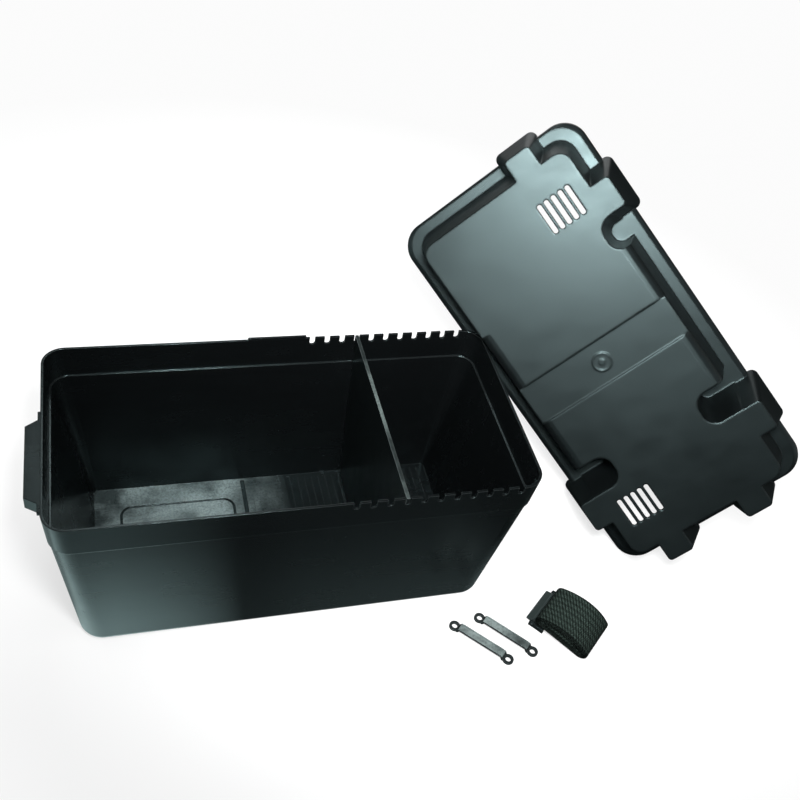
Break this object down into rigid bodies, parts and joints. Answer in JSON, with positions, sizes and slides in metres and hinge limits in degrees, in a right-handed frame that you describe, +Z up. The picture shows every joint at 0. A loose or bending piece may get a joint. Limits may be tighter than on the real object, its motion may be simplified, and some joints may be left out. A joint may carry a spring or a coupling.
{
  "type": "battery box with lid",
  "caption": "Open plastic battery box with a vented lid leaning beside it, a hanging divider, a rolled strap with cam buckle and screw-down strap anchors.",
  "frame": {"origin": "middle of the tub's underside, on the ground", "axes": "+Z up out of the open tub, X along the tub's length with the divider and the leaning lid on +X, +Y across the tub away from the strap and the anchors"},
  "size_m": [0.7392, 0.3918, 0.366],
  "materials": {
    "box_plastic": "satin moulded polypropylene, glossier inside",
    "lid_plastic": "satin moulded polypropylene",
    "divider_plastic": "satin",
    "webbing": "woven polypropylene webbing",
    "buckle_plastic": "smooth",
    "pin_steel": "drawn wire",
    "anchor_plastic": "satin"
  },
  "bodies": {
    "tub": {"battery_box": "box_plastic"},
    "lid": {"lid": "lid_plastic"},
    "divider": {"divider": "divider_plastic"},
    "strap": {"strap_webbing": "webbing", "buckle_frame": "buckle_plastic", "buckle_pin": "pin_steel"},
    "lever": {"buckle_lever": "buckle_plastic"},
    "anchor_left": {"strap_anchor_left": "anchor_plastic"},
    "anchor_right": {"strap_anchor_right": "anchor_plastic"}
  },
  "joints": [
    {"name": "lid_lift", "type": "slide", "parent": "tub", "child": "lid", "axis": [0, 0, 1], "range_m": [0, 0.2]},
    {"name": "divider_lift", "type": "slide", "parent": "tub", "child": "divider", "axis": [0, 0, 1], "range_m": [0, 0.19]},
    {"name": "strap_lift", "type": "slide", "parent": "tub", "child": "strap", "axis": [0, 0, 1], "range_m": [0, 0.2]},
    {"name": "buckle_open", "type": "hinge", "parent": "strap", "child": "lever", "pos_m": [0.24987, -0.12015, 0.0042], "axis": [0.766, 0.6428, 0], "range_deg": [0, 65]},
    {"name": "anchor_left_lift", "type": "slide", "parent": "tub", "child": "anchor_left", "axis": [0, 0, 1], "range_m": [0, 0.2]},
    {"name": "anchor_right_lift", "type": "slide", "parent": "tub", "child": "anchor_right", "axis": [0, 0, 1], "range_m": [0, 0.2]}
  ]
}
